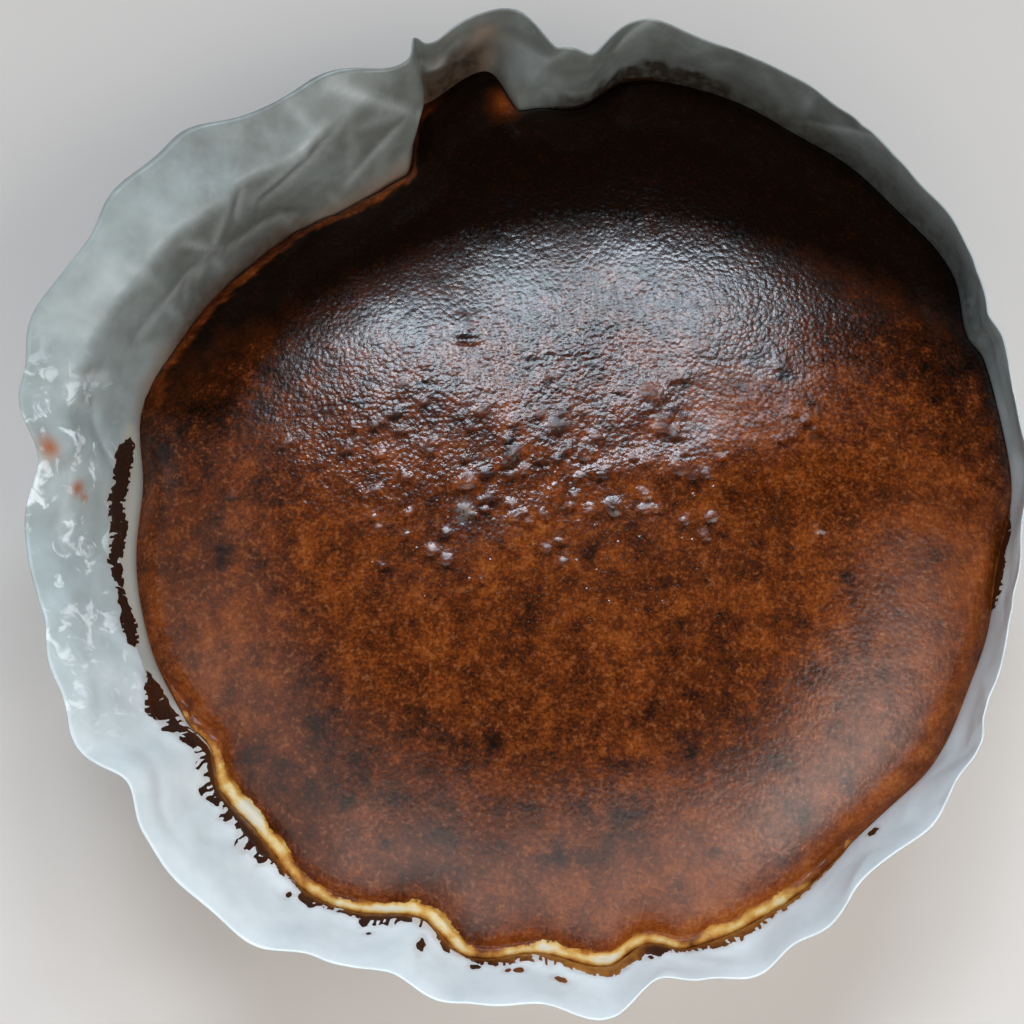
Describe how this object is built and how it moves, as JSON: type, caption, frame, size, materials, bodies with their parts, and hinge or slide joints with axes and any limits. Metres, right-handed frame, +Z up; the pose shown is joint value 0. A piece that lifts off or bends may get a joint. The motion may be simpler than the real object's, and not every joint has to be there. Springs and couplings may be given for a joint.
{
  "type": "basque cheesecake",
  "caption": "Whole round burnt cheesecake with a domed dark brown top, still in the pleated, flared baking paper that it was baked in.",
  "frame": {"origin": "on the cake's axis, at the underside of the paper", "axes": "+Z up, -Y towards the front as pictured, +X to the right"},
  "size_m": [0.2464, 0.2525, 0.0862],
  "materials": {
    "crust": "leathery burnt crust with a dull sheen, mottled brown to near black",
    "parchment": "greaseproof baking paper, slightly glossy and translucent"
  },
  "bodies": {
    "root": {"cake": "crust", "paper_liner": "parchment"}
  },
  "joints": []
}
